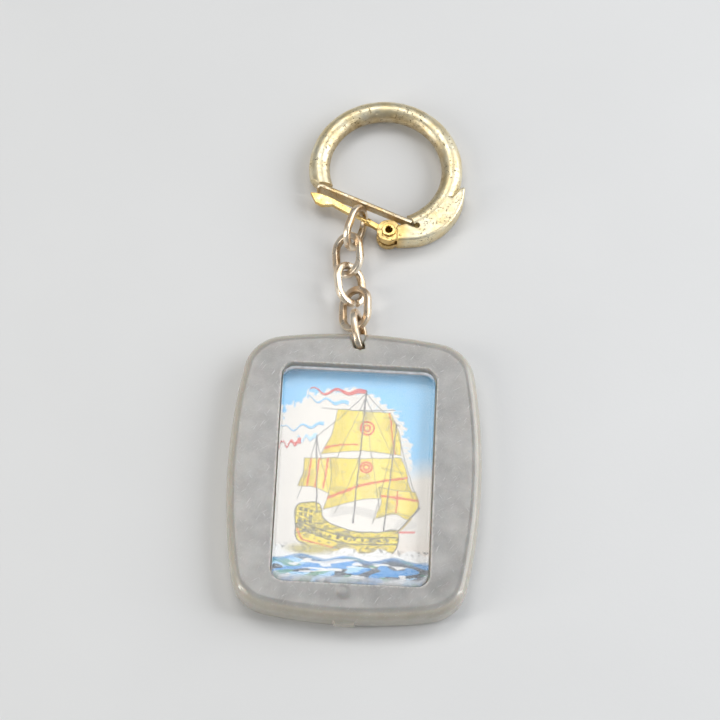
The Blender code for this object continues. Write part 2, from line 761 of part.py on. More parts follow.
def build_ring_body(axis, parts, tools):
    gilt = new_material("worn_gilt_casting", (0.80, 0.69, 0.48), 0.36, metallic=1.0)
    home = plan_point(0, 0)
    cast = plate_mesh("ring_body", cast_outline(), CLASP_LIFT, CLASP_LIFT + CAST_HEIGHT)
    ring = add_part("ring_body", cast, gilt, parts)
    ring.data.transform(Matrix.Translation((-PIVOT[0], -PIVOT[1], 0)))
    ring.matrix_basis = pivot_frame()
    round_edges(ring, CAST_EDGE_ROUND, 3)

    rod = tool_object("ring_rod", ring_rod_mesh(), tools)
    rod.location = plan_point(*RING_CENTRE)
    ear = cylinder_mesh("ring_ear", EAR_RADIUS, CLASP_LIFT, EAR_TOP_Z, sides=32)
    ear = tool_object("ring_ear", ear, tools, pivot_frame())
    join_in_place(ring, (rod, ear), "UNION", tools)

    top = CLASP_LIFT + 2 * ROD_RADIUS + THROUGH
    gap = cylinder_mesh("ear_gap", EAR_GAP_RADIUS, EAR_GAP_LOW_Z, EAR_GAP_HIGH_Z, sides=32)
    bore = cylinder_mesh("ear_bore", BORE_RADIUS, 0, top)
    end_cut = plate_mesh("ring_end_cut", RING_END_CUT, 0, top)
    swing = plate_mesh("swing_cut", swing_outline(), 0, top)
    hole = cylinder_mesh("tip_hole", TIP_HOLE_RADIUS, EAR_GAP_LOW_Z, top, sides=16)
    hole_place = Matrix.Translation((SWING_CLEARANCE_RADIUS - TIP_HOLE_RADIUS, STRIP_OFFSET, 0))
    cuts = (
        tool_object("ear_gap", gap, tools, pivot_frame()),
        tool_object("ear_bore", bore, tools, pivot_frame()),
        tool_object("ring_end_cut", end_cut, tools, Matrix.Translation(home)),
        tool_object("swing_cut", swing, tools, pivot_frame(STRIP_ANGLE)),
        tool_object("tip_hole", hole, tools, pivot_frame(STRIP_ANGLE) @ hole_place),
    )
    join_in_place(ring, cuts, "DIFFERENCE", tools)
    hang(ring, axis)
    return ring


def build_pivot_rivet(axis, parts):
    """A hollow rivet: a flange at each end of a tube."""
    brass = new_material("brass_eyelet", (0.88, 0.68, 0.32), 0.25, metallic=1.0)
    low = CLASP_LIFT - RIVET_END_GAP - RIVET_FLANGE_HEIGHT
    high = EAR_TOP_Z + RIVET_END_GAP + RIVET_FLANGE_HEIGHT
    edge = RIVET_FLANGE_HEIGHT / 3
    profile = [
        (RIVET_HOLE_RADIUS + edge, high),
        (RIVET_FLANGE_RADIUS - edge, high),
        (RIVET_FLANGE_RADIUS, high - edge),
        (RIVET_FLANGE_RADIUS, high - RIVET_FLANGE_HEIGHT),
        (RIVET_RADIUS, high - RIVET_FLANGE_HEIGHT),
        (RIVET_RADIUS, low + RIVET_FLANGE_HEIGHT),
        (RIVET_FLANGE_RADIUS, low + RIVET_FLANGE_HEIGHT),
        (RIVET_FLANGE_RADIUS, low + edge),
        (RIVET_FLANGE_RADIUS - edge, low),
        (RIVET_HOLE_RADIUS + edge, low),
        (RIVET_HOLE_RADIUS, low + edge),
        (RIVET_HOLE_RADIUS, high - edge),
    ]
    rivet = turned_object("pivot_rivet", profile, parts, steps=24)
    rivet.data.materials.append(brass)
    rivet.matrix_basis = pivot_frame()
    hang(rivet, axis)
    return rivet


def build_clasp(link_axis, parts, tools):
    clasp_axis = add_axis("clasp_axis", clasp_frame(), link_axis, parts)
    build_hinge_bar(clasp_axis, parts, tools)
    build_spring_strip(clasp_axis, parts, tools)
    ring_axis = add_axis("ring_axis", pivot_frame(), clasp_axis, parts)
    build_ring_body(ring_axis, parts, tools)
    build_pivot_rivet(ring_axis, parts)


def main():
    clear_scene()
    parts = new_collection(PART_NAME)
    tools = new_collection("cutters")
    body = build_fob(parts, tools)
    link_axis = build_chain(body, parts)
    build_clasp(link_axis, parts, tools)


main()
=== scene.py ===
"""Looks of the souvenir key ring: frosted plastic fob with a printed ship under a clear cover,
flattened-wire chain and a worn, pitted clasp ring, on a pale floor under soft studio light."""
import json
import math

import bmesh
import bpy
import numpy as np
from mathutils import Matrix, Vector, noise
from mathutils.kdtree import KDTree


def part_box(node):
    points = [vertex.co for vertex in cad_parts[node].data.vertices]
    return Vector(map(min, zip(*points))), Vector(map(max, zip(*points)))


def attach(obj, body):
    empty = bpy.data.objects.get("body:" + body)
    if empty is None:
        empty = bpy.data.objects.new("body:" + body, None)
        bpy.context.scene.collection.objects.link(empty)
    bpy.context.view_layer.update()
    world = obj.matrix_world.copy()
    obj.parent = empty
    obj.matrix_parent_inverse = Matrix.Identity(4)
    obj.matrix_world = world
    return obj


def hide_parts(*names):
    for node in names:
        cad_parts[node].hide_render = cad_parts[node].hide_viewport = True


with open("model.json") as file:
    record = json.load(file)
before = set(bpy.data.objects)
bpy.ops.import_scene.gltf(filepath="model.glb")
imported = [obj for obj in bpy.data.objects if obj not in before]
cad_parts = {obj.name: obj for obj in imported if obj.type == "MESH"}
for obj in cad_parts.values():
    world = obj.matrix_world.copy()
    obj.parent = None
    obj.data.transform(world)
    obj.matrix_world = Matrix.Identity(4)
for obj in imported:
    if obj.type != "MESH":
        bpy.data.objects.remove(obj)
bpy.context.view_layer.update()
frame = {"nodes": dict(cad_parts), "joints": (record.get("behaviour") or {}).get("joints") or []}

MM = 0.001

# Camera: the elevated, slightly rolled view of a key ring lying flat, from well above its foot.
CAMERA_ELEVATION = 65.85
CAMERA_AZIMUTH = 0.68
CAMERA_ROLL = 3.55
CAMERA_DISTANCE = 468.8 * MM
CAMERA_LENS = 150.0
CAMERA_SENSOR = 36.0
CAMERA_CLIP_START = 10 * MM
CAMERA_TARGET = Vector((-0.02, -0.03, 0.0)) * MM

# Studio: each area light's name, place and size in metres, power in watts, and colour.
LIGHTS = (
    ("window_light", (0.55, 0.25, 0.38), (0.5, 0.6), 2.9, (0.95, 0.97, 1.0)),
    ("top_light", (-0.15, 0.35, 0.75), (0.5, 0.35), 1.9, (1.0, 0.98, 0.95)),
    ("fill_light", (-0.6, -0.2, 0.35), (0.35, 0.5), 0.9, (1.0, 0.95, 0.88)),
    ("right_strip", (0.30, -0.05, 0.16), (0.03, 0.30), 0.28, (0.93, 0.95, 1.0)),
    ("left_strip", (-0.28, -0.12, 0.14), (0.03, 0.26), 0.22, (1.0, 0.98, 0.94)),
)
WORLD_COLOUR = (0.82, 0.86, 0.92, 1.0)
WORLD_STRENGTH = 0.3
FLOOR_SIZE = 3.0

# Chain: flattened wire, wide in each link's plane and thinner across it. The ovals come from the frame.
WIRE_WIDTH = 1.1 * MM
WIRE_THICKNESS = 1.0 * MM
WIRE_CORNER = 0.3 * MM
CORNER_STEPS = 5
OPEN_LINK = "chain_link_2"
OPEN_GAP = 0.5 * MM
CUT_DOME = 0.06 * MM
CUT_TAPER = 0.86
LINKS = ("fob_link", "chain_link_3", "chain_link_2", "chain_link_1", "bar_link")

# Clasp ring: the circle that the round rod follows, and how far the gilding reaches from the pivot.
RING_CENTRE = Vector((2.6, 32.45, 2.15)) * MM
RING_RADIUS = 10.6 * MM
ROD_RADIUS = 1.65 * MM
ROD_FACET_DEPTH = 0.02 * MM
ROD_SKIN = 0.05 * MM
GILT_REACH = 3.4 * MM
GILT_FADE = 1.2 * MM

# Leaf spring: what its pressed stock adds on the face towards the ring's middle, and that direction.
STRIP_EXTRA = 0.22 * MM
STRIP_INWARD = Vector((0.365, 0.931))

# Picture window, centred on the picture card.
WINDOW_WIDTH = 24.0 * MM
WINDOW_HEIGHT = 35.8 * MM
WINDOW_CORNER = 2.1 * MM
CARD_CORNER = WINDOW_CORNER - 0.5 * MM

# Fob: where its surface counts as lip, pocket and rim, and how far the painted glow along the edge reaches
# inward.
LIP_WIDTH = 0.3 * MM
LIP_DEPTH = 0.7 * MM
LIP_CLEARANCE = 1.0 * MM
POCKET_REACH = 0.12 * MM
POCKET_DEPTH = 0.05 * MM
EDGE_GLOW_REACH = 1.8 * MM
FLAT_FACE = 0.997
UPRIGHT_WALL = 0.3
RIM_FADE = 0.12

# Fine meshes: the voxel of each remeshed node, and how many times it is smoothed.
FINE = {
    "ring_body": (0.1 * MM, 5),
    "hinge_bar": (0.06 * MM, 4),
    "spring_strip": (0.06 * MM, 2),
    "pivot_rivet": (0.05 * MM, 4),
    "fob_body": (0.16 * MM, 3),
    "window_cover": (0.14 * MM, 6),
}

# Colours of the worn metals; the brown is grime and also painted shade on inner sides and undersides.
GILT = (0.86, 0.60, 0.22)
BROWN_GRIME_AND_SHADE = (0.30, 0.19, 0.08)


# Material building.


class Finish:
    """A material whose nodes are added one by one, in the piece's own coordinates."""

    def __init__(self, name):
        self.material = bpy.data.materials.new(name)
        self.material.use_nodes = True
        self.tree = self.material.node_tree
        self.shader = self.tree.nodes["Principled BSDF"]
        self.place = self.add("ShaderNodeTexCoord").outputs["Object"]

    def add(self, kind, values=None, **settings):
        """A node of this kind, with its settings made and its inputs fed."""
        node = self.tree.nodes.new(kind)
        for key, value in settings.items():
            setattr(node, key, value)
        for key, value in (values or {}).items():
            self.feed(node.inputs[key], value)
        return node

    def feed(self, socket, value):
        """A link from another node's output, or a plain value."""
        if isinstance(value, bpy.types.NodeSocket):
            self.tree.links.new(value, socket)
        elif isinstance(value, tuple) and len(value) == 3 and socket.type == "RGBA":
            socket.default_value = (*value, 1.0)
        else:
            socket.default_value = value

    def set(self, **values):
        """Inputs of the Principled shader, named with _ for a space."""
        for key, value in values.items():
            self.feed(self.shader.inputs[key.replace("_", " ")], value)

    def noise(self, size, detail=3.0, roughness=0.55, place=None):
        """Noise from 0 to 1 whose features are about size across."""
        values = {"Vector": place or self.place, "Scale": 1 / size, "Detail": detail, "Roughness": roughness}
        return self.add("ShaderNodeTexNoise", values).outputs["Fac"]

    def stretched(self, angles, scale):
        """Coordinates turned and stretched, for streaks and scratches."""
        turned = self.add("ShaderNodeMapping", {"Vector": self.place, "Rotation": angles})
        scaled = {"Vector": turned.outputs[0], "Scale": scale}
        return self.add("ShaderNodeMapping", scaled).outputs[0]

    def steps(self, value, low, high, first=0.0, last=1.0):
        """Value mapped from low..high to first..last and held outside it."""
        values = {"Value": value, "From Min": low, "From Max": high, "To Min": first, "To Max": last}
        return self.add("ShaderNodeMapRange", values, clamp=True).outputs["Result"]

    def math(self, operation, a, b=0.0):
        node = self.add("ShaderNodeMath", operation=operation)
        self.feed(node.inputs[0], a)
        self.feed(node.inputs[1], b)
        return node.outputs[0]

    def mix(self, factor, a, b, blend="MIX"):
        """Colour a turned into colour b by the factor. Inputs 6 and 7 are the node's colours."""
        node = self.add("ShaderNodeMix", data_type="RGBA", blend_type=blend)
        self.feed(node.inputs[0], factor)
        self.feed(node.inputs[6], a)
        self.feed(node.inputs[7], b)
        return node.outputs[2]

    def share(self, name):
        """A number from 0 to 1 that the mesh holds at each point."""
        return self.add("ShaderNodeAttribute", attribute_name=name).outputs["Fac"]

    def bump(self, height, depth, after=None):
        """Relief of this depth, on top of another bump if there is one."""
        values = {"Height": height, "Distance": depth, "Strength": 1.0}
        if after is not None:
            values["Normal"] = after
        return self.add("ShaderNodeBump", values).outputs["Normal"]


def worn_metal(name, pale, deep, dark, roughness, wear, pit_size=0.4 * MM, pit_share=0.585):
    """Thin plating from pale to deep in patches, with brown grime and painted shade, dark pits and a fine
    grain.
    """
    metal = Finish(name)
    patches = metal.steps(metal.noise(2.6 * MM, 4.0), 0.5 - wear, 0.5 + wear)
    tint = metal.mix(patches, pale, deep)
    tint = metal.mix(metal.share("gilt"), tint, GILT)
    # Brown where the mesh's value says so: grime mixed with painted shade on inner sides and undersides.
    grime_and_painted_shade = metal.math("MULTIPLY", metal.share("grime_and_painted_shade"), metal.noise(0.9 * MM, 4.0))
    tint = metal.mix(metal.steps(grime_and_painted_shade, 0.05, 0.75), tint, BROWN_GRIME_AND_SHADE)
    pits = metal.steps(metal.noise(pit_size, 4.0, 0.7), pit_share, pit_share + 0.05)
    where = metal.steps(metal.noise(4.0 * MM, 2.0), 0.40, 0.56)
    pits = metal.math("MULTIPLY", pits, where)
    tint = metal.mix(metal.math("MULTIPLY", pits, 0.85), tint, dark)
    grain = metal.noise(0.12 * MM, 3.0, 0.6)
    tint = metal.mix(metal.steps(grain, 0.55, 0.75, 0.0, 0.22), tint, dark)
    rough = metal.steps(metal.noise(0.8 * MM, 4.0), 0.3, 0.7, roughness - 0.07, roughness + 0.1)
    rough = metal.math("ADD", rough, metal.math("MULTIPLY", pits, 0.3))
    relief = metal.bump(metal.math("MULTIPLY", pits, -1.0), 0.05 * MM)
    relief = metal.bump(grain, 0.008 * MM, relief)
    relief = metal.bump(metal.noise(0.9 * MM, 2.0), 0.02 * MM, relief)
    metal.set(Base_Color=tint, Metallic=1.0, Roughness=rough, Normal=relief)
    return metal.material


def ring_metal():
    return worn_metal(
        "worn_ring_plating", (0.90, 0.83, 0.62), (0.84, 0.69, 0.40), (0.12, 0.07, 0.03), 0.4, 0.14
    )


def bar_metal():
    return worn_metal(
        "gilt_bar_plating", (0.92, 0.72, 0.34), (0.84, 0.54, 0.16), (0.18, 0.08, 0.02), 0.3, 0.14,
        pit_share=0.63,
    )


def strip_metal():
    return worn_metal(
        "spring_plating", (0.88, 0.80, 0.64), (0.76, 0.56, 0.28), (0.14, 0.08, 0.03), 0.38, 0.12,
        pit_size=0.18 * MM,
    )


def chain_metal():
    return worn_metal(
        "chain_plating", (0.93, 0.86, 0.72), (0.88, 0.66, 0.44), (0.18, 0.10, 0.05), 0.3, 0.16,
        pit_share=0.64,
    )


def frosted_plastic():
    """Scuffed translucent plastic: greyer in the flat face, with a painted warm glow round the rim and
    painted paler light near the outer walls and in the pocket.
    """
    plastic = Finish("frosted_fob_plastic")
    rim = plastic.share("rim")
    lip = plastic.share("lip")
    cloud = plastic.noise(3.5 * MM, 5.0, 0.6)
    face = plastic.mix(plastic.steps(cloud, 0.3, 0.7), (0.34, 0.335, 0.33), (0.60, 0.59, 0.57))
    speck = plastic.steps(plastic.noise(0.22 * MM, 3.0, 0.6), 0.54, 0.72, 0.0, 0.4)
    face = plastic.mix(speck, face, (0.72, 0.71, 0.69))
    # Painted glow: the rim is warmer and paler, as if lit through the translucent plastic.
    painted_rim_glow = plastic.mix(plastic.noise(2.0 * MM), (0.52, 0.47, 0.37), (0.72, 0.68, 0.59))
    # Painted glow: the face grows paler towards the outer walls.
    edge = plastic.math("MULTIPLY", plastic.share("edge"), 0.75)
    face = plastic.mix(edge, face, (0.66, 0.63, 0.56))
    tint = plastic.mix(rim, face, painted_rim_glow)
    # Painted light: the shaded pocket wall is tinted pale to lighten it.
    tint = plastic.mix(plastic.share("pocket"), tint, (0.78, 0.72, 0.63))
    scratches = None
    for turn, share in ((0.55, 0.72), (1.0, 0.735), (-0.7, 0.75)):
        lines = plastic.stretched((0.0, 0.0, turn), (1.0, 0.07, 1.0))
        lines = plastic.noise(0.14 * MM, 1.0, 0.4, lines)
        lines = plastic.steps(lines, share, share + 0.03)
        scratches = lines if scratches is None else plastic.math("MAXIMUM", scratches, lines)
    tint = plastic.mix(plastic.math("MULTIPLY", scratches, 0.8), tint, (0.85, 0.85, 0.84))
    chipped = plastic.math("MULTIPLY", lip, plastic.steps(plastic.noise(0.5 * MM, 4.0), 0.42, 0.56))
    tint = plastic.mix(chipped, tint, (0.88, 0.86, 0.82))
    rough = plastic.steps(plastic.noise(0.6 * MM, 4.0), 0.3, 0.7, 0.3, 0.48)
    relief = plastic.bump(scratches, 0.02 * MM)
    relief = plastic.bump(plastic.noise(0.1 * MM, 3.0), 0.012 * MM, relief)
    relief = plastic.bump(chipped, 0.04 * MM, relief)
    plastic.set(Base_Color=tint, Roughness=rough, Normal=relief, IOR=1.49)
    plastic.set(Coat_Weight=0.9, Coat_Roughness=0.1)
    plastic.set(Transmission_Weight=plastic.steps(rim, 0.0, 1.0, 0.45, 0.25))
    plastic.set(Subsurface_Weight=0.2, Subsurface_Scale=0.8 * MM)
    return plastic.material


def clear_plastic():
    """Clear plastic that casts no shadow, with faint scuffs and crowned ends painted with a whitish
    reflection.
    """
    clear = Finish("clear_cover_plastic")
    scuff = clear.noise(0.5 * MM, 4.0, 0.6)
    rough = clear.steps(scuff, 0.45, 0.75, 0.02, 0.09)
    clear.set(Base_Color=(0.97, 0.98, 1.0), Roughness=rough, IOR=1.33, Transmission_Weight=1.0)
    clear.set(Normal=clear.bump(scuff, 0.006 * MM))
    lamp = clear.add("ShaderNodeLightPath").outputs["Is Shadow Ray"]
    through = clear.add("ShaderNodeBsdfTransparent").outputs[0]
    mixed = clear.add("ShaderNodeMixShader")
    clear.feed(mixed.inputs[0], lamp)
    clear.feed(mixed.inputs[1], clear.shader.outputs[0])
    clear.feed(mixed.inputs[2], through)
    # Painted reflection: a pale, glossy shader mixed in at the crowned ends stands in for the lamps'
    # reflection.
    painted_milky_reflection = clear.add(
        "ShaderNodeBsdfPrincipled",
        {"Base Color": (0.80, 0.81, 0.84), "Roughness": 0.2, "Coat Weight": 0.6, "Coat Roughness": 0.1},
    )
    crown = clear.share("crown")
    uneven = clear.steps(clear.noise(1.2 * MM), 0.3, 0.7, 0.55, 0.85)
    ends = clear.add("ShaderNodeMixShader", {0: clear.math("MULTIPLY", crown, uneven)})
    clear.feed(ends.inputs[1], mixed.outputs[0])
    clear.feed(ends.inputs[2], painted_milky_reflection.outputs[0])
    output = clear.tree.nodes["Material Output"]
    clear.feed(output.inputs["Surface"], ends.outputs[0])
    return clear.material


def printed_card():
    """Ink on coated paper: the print's colours, broken up by paper grain and uneven ink."""
    card = Finish("printed_paper")
    ink = card.add("ShaderNodeAttribute", attribute_name="ink").outputs["Color"]
    ink = card.mix(1.0, ink, (0.78, 0.77, 0.76), "MULTIPLY")
    uneven = card.steps(card.noise(0.35 * MM, 4.0, 0.65), 0.35, 0.7, 0.0, 0.16)
    ink = card.mix(uneven, ink, (0.80, 0.76, 0.68))
    grain = card.steps(card.noise(0.11 * MM, 2.0), 0.5, 0.75, 0.0, 0.14)
    ink = card.mix(grain, ink, (0.20, 0.19, 0.17))
    rough = card.steps(card.noise(0.5 * MM), 0.3, 0.7, 0.5, 0.68)
    card.set(Base_Color=ink, Roughness=rough, Normal=card.bump(grain, 0.01 * MM))
    return card.material


def plain_card():
    """Uncoated grey-brown board with a fibrous surface."""
    card = Finish("backing_paper")
    fibre = card.noise(0.25 * MM, 5.0, 0.7)
    tint = card.mix(fibre, (0.60, 0.57, 0.50), (0.76, 0.73, 0.67))
    card.set(Base_Color=tint, Roughness=0.85, Normal=card.bump(fibre, 0.02 * MM))
    return card.material


def floor_paper():
    """Plain pale paper, barely uneven."""
    floor = Finish("floor_paper")
    tint = floor.mix(floor.noise(30 * MM), (0.74, 0.74, 0.73), (0.78, 0.78, 0.77))
    floor.set(Base_Color=tint, Roughness=0.7, Normal=floor.bump(floor.noise(0.6 * MM), 0.01 * MM))
    return floor.material


# Meshes.


def new_object(name, mesh, material, body, node):
    """A piece that rides on a body and stands for this CAD node."""
    obj = bpy.data.objects.new(name, mesh)
    bpy.context.scene.collection.objects.link(obj)
    mesh.materials.clear()
    mesh.materials.append(material)
    mesh.shade_smooth()
    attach(obj, body)
    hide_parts(node)
    return obj


def remeshed(node):
    """A CAD node's shape as a fine, even mesh with slightly softened edges."""
    voxel, smoothing = FINE[node]
    mesh = frame["nodes"][node].data.copy()
    edit = bmesh.new()
    edit.from_mesh(mesh)
    bmesh.ops.remove_doubles(edit, verts=edit.verts, dist=0.001 * MM)
    edit.to_mesh(mesh)
    edit.free()
    obj = bpy.data.objects.new(node + "_fine", mesh)
    bpy.context.scene.collection.objects.link(obj)
    remesh = obj.modifiers.new("Fine", "REMESH")
    remesh.mode = "VOXEL"
    remesh.voxel_size = voxel
    soften = obj.modifiers.new("Soften", "SMOOTH")
    soften.factor = 0.5
    soften.iterations = smoothing
    depsgraph = bpy.context.evaluated_depsgraph_get()
    fine = bpy.data.meshes.new_from_object(obj.evaluated_get(depsgraph))
    bpy.data.objects.remove(obj)
    for layer in ("custom_normal", "sharp_face"):
        if layer in fine.attributes:
            fine.attributes.remove(fine.attributes[layer])
    return fine


def vertex_vectors(mesh, kind):
    vectors = np.empty(len(mesh.vertices) * 3)
    mesh.vertices.foreach_get(kind, vectors)
    return vectors.reshape(-1, 3)


def points_of(mesh):
    return vertex_vectors(mesh, "co")


def normals_of(mesh):
    return vertex_vectors(mesh, "normal")


def put_points(mesh, points):
    mesh.vertices.foreach_set("co", points.astype(np.float32).ravel())
    mesh.update()


def add_values(mesh, name, values):
    """A number at each vertex, for the materials to read."""
    layer = mesh.attributes.new(name, "FLOAT", "POINT")
    layer.data.foreach_set("value", values.astype(np.float32))


def roughened(mesh, size, depth):
    """Each vertex moved along its normal by smooth noise."""
    points = points_of(mesh)
    moves = np.array([noise.noise(place) for place in points / size])
    put_points(mesh, points + normals_of(mesh) * (moves * depth)[:, None])


# Chain.


def link_frame(node):
    """A link's frame: Z along its joint's axis, Y along its length, centred on its box."""
    joint = next(j for j in frame["joints"] if j["child"] == node)
    across = Vector(joint["axis"]).normalized()
    along = Vector((0, 0, 1)).cross(across).normalized()
    if along.y < 0:
        along = -along
    side = along.cross(across)
    low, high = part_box(node)
    turn = Matrix((side, along, across)).transposed().to_4x4()
    return Matrix.Translation((low + high) / 2) @ turn


def link_size(node, place):
    """Length and width of a link, in its own frame."""
    points = [place.inverted() @ v.co for v in frame["nodes"][node].data.vertices]
    length = max(p.y for p in points) - min(p.y for p in points)
    return length, max(p.x for p in points) - min(p.x for p in points)


def wire_section():
    """Flattened wire: a rounded rectangle, anticlockwise."""
    x, y = WIRE_WIDTH / 2 - WIRE_CORNER, WIRE_THICKNESS / 2 - WIRE_CORNER
    section = []
    for sx, sy, start in ((1, 1, 0), (-1, 1, 90), (-1, -1, 180), (1, -1, 270)):
        for step in range(CORNER_STEPS + 1):
            angle = math.radians(start + 90 * step / CORNER_STEPS)
            across = sx * x + WIRE_CORNER * math.cos(angle)
            section.append(Vector((across, sy * y + WIRE_CORNER * math.sin(angle))))
    return section


def oval_path(length, width, is_open, steps=40):
    """Middle line of the wire as (place, outward direction) pairs, anticlockwise."""
    radius = (width - WIRE_WIDTH) / 2
    straight = (length - width) / 2
    path = []
    for middle, start in ((straight, 0.0), (-straight, 180.0)):
        for step in range(steps + 1):
            angle = math.radians(start + 180 * step / steps)
            outward = Vector((math.cos(angle), math.sin(angle), 0))
            path.append((outward * radius + Vector((0, middle, 0)), outward))
    if not is_open:
        return path
    gap = math.degrees(OPEN_GAP / radius)
    gap_angle = 270.0 - gap
    lead = [p for p in path if in_gap(p, straight) > gap_angle + gap / 2]
    rest = [p for p in path if in_gap(p, straight) < gap_angle - gap / 2]
    return lead + rest


def in_gap(pair, straight):
    """Angle of a path point round the lower end, from 180 to 360, or -1 elsewhere."""
    place, outward = pair
    if place.y > -straight:
        return -1.0
    return math.degrees(math.atan2(outward.y, outward.x)) % 360


def sweep(path, section, closed):
    """The section carried along the path, in the path's plane, with domed ends if it is open."""
    edit = bmesh.new()
    rings = []
    for place, outward in path:
        ring = [edit.verts.new(place + outward * s.x + Vector((0, 0, s.y))) for s in section]
        rings.append(ring)
    if not closed:
        for side, place, outward in ((0, *path[0]), (-1, *path[-1])):
            step = path[1][0] - path[0][0] if side == 0 else path[-2][0] - path[-1][0]
            tip = place - step.normalized() * CUT_DOME
            ring = []
            for s in section:
                corner = tip + outward * s.x * CUT_TAPER + Vector((0, 0, s.y * CUT_TAPER))
                ring.append(edit.verts.new(corner))
            if side == 0:
                rings.insert(0, ring)
            else:
                rings.append(ring)
        edit.faces.new(rings[0])
        edit.faces.new(list(reversed(rings[-1])))
    count = len(section)
    pairs = list(zip(rings, rings[1:]))
    if closed:
        pairs.append((rings[-1], rings[0]))
    for a, b in pairs:
        for i in range(count):
            j = (i + 1) % count
            edit.faces.new((a[i], b[i], b[j], a[j]))
    bmesh.ops.recalc_face_normals(edit, faces=edit.faces)
    mesh = bpy.data.meshes.new("link")
    edit.to_mesh(mesh)
    edit.free()
    # Painted shade: the wire's inner side is marked for the darker brown, mixed with grime.
    inner = [max(0.0, -s.x / (WIRE_WIDTH / 2)) ** 2 for s in section]
    add_values(mesh, "grime_and_painted_shade", np.tile(inner, len(rings)))
    return mesh


def build_links():
    """The five links, each in the place and at the size of its CAD node."""
    metal = chain_metal()
    for node in LINKS:
        place = link_frame(node)
        length, width = link_size(node, place)
        is_open = node == OPEN_LINK
        mesh = sweep(oval_path(length, width, is_open), wire_section(), not is_open)
        mesh.transform(place)
        mesh.update()
        roughened(mesh, 0.9 * MM, 0.012 * MM)
        new_object(node + "_wire", mesh, metal, node, node)


# Clasp.


def build_ring():
    """The cast ring: its rod trued up to a round section, then left slightly uneven."""
    mesh = remeshed("ring_body")
    points = points_of(mesh)
    centre = np.array(RING_CENTRE)
    flat = points[:, :2] - centre[:2]
    reach = np.linalg.norm(flat, axis=1)
    outward = flat / reach[:, None]
    spoke = np.stack([reach - RING_RADIUS, points[:, 2] - centre[2]], axis=1)
    distance = np.linalg.norm(spoke, axis=1)
    from_skin = np.abs(distance - ROD_RADIUS + ROD_FACET_DEPTH)
    near = np.clip(1.6 - from_skin / ROD_SKIN, 0, 1)
    trued = spoke * (ROD_RADIUS / distance)[:, None]
    target = np.empty_like(points)
    target[:, :2] = centre[:2] + outward * (RING_RADIUS + trued[:, 0])[:, None]
    target[:, 2] = centre[2] + trued[:, 1]
    put_points(mesh, points + (target - points) * near[:, None])
    # Painted shade: the rod's inner side and underside are marked for the darker brown, mixed with grime.
    inner = np.clip(-spoke[:, 0] / ROD_RADIUS, 0, 1) ** 2
    underside = np.clip(0.3 - spoke[:, 1] / ROD_RADIUS, 0, 1)
    add_values(mesh, "grime_and_painted_shade", np.maximum(inner, 0.6 * underside) * 0.9)
    pivot = next(j for j in frame["joints"] if j["child"] == "ring")["pos_m"]
    from_pivot = np.hypot(points[:, 0] - pivot[0], points[:, 1] - pivot[1])
    add_values(mesh, "gilt", np.clip((GILT_REACH - from_pivot) / GILT_FADE, 0, 1) * 0.85)
    roughened(mesh, 1.6 * MM, 0.02 * MM)
    roughened(mesh, 0.5 * MM, 0.008 * MM)
    new_object("ring_casting", mesh, ring_metal(), "ring", "ring_body")


def thickened(strip):
    """The strip's inner face moved into the ring, to the full thickness of its pressed stock."""
    inward = np.array((*STRIP_INWARD.normalized(), 0.0))
    facing = np.clip(normals_of(strip) @ inward * 2, 0, 1)
    put_points(strip, points_of(strip) + inward * (STRIP_EXTRA * facing)[:, None])


def build_clasp():
    """The hinge bar, its leaf spring and the hollow rivet that the ring turns on."""
    bar = remeshed("hinge_bar")
    roughened(bar, 0.6 * MM, 0.02 * MM)
    gilt = bar_metal()
    new_object("hinge_bar_casting", bar, gilt, "clasp", "hinge_bar")
    strip = remeshed("spring_strip")
    thickened(strip)
    roughened(strip, 0.7 * MM, 0.015 * MM)
    new_object("spring_strip_stock", strip, strip_metal(), "clasp", "spring_strip")
    rivet = remeshed("pivot_rivet")
    new_object("pivot_eyelet", rivet, gilt, "ring", "pivot_rivet")


# Fob.


def rounded_distance(x, y, width, height, corner):
    """Distance outside (or, negative, inside) a rounded rectangle centred on zero."""
    dx = np.abs(x) - width / 2 + corner
    dy = np.abs(y) - height / 2 + corner
    outside = np.hypot(np.maximum(dx, 0), np.maximum(dy, 0))
    return outside + np.minimum(np.maximum(dx, dy), 0) - corner


def build_fob_body():
    """The moulded fob, with values that say where its rim, window lip, edge and pocket are; rim, edge and
    pocket carry painted glow and painted light.
    """
    mesh = remeshed("fob_body")
    points = points_of(mesh)
    flatness = np.abs(normals_of(mesh)[:, 2])
    card_low, card_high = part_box("picture_card")
    middle = (card_low + card_high) / 2
    lip = rounded_distance(
        points[:, 0] - middle.x, points[:, 1] - middle.y, WINDOW_WIDTH, WINDOW_HEIGHT, WINDOW_CORNER
    )
    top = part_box("fob_body")[1].z
    outside_lip = lip > LIP_CLEARANCE
    rim = np.clip((FLAT_FACE - flatness) / RIM_FADE, 0, 1) * outside_lip
    near_top = points[:, 2] > top - LIP_DEPTH
    wall = (flatness < UPRIGHT_WALL) & outside_lip
    tree = KDTree(int(wall.sum()))
    for index, place in enumerate(points[wall]):
        tree.insert(place, index)
    tree.balance()
    reach = np.array([tree.find(place)[2] for place in points])
    # The edge value places the painted glow near the outer walls.
    add_values(mesh, "edge", np.exp(-reach / EDGE_GLOW_REACH))
    # The pocket value places painted light on the shaded pocket wall.
    add_values(mesh, "pocket", (lip < POCKET_REACH) & (points[:, 2] < top - POCKET_DEPTH))
    # The rim value places the painted warm glow round the rim.
    add_values(mesh, "rim", rim)
    add_values(mesh, "lip", np.clip(1.3 - np.abs(lip) / LIP_WIDTH, 0, 1) * near_top)
    roughened(mesh, 4.0 * MM, 0.02 * MM)
    new_object("fob_casting", mesh, frosted_plastic(), "fob", "fob_body")


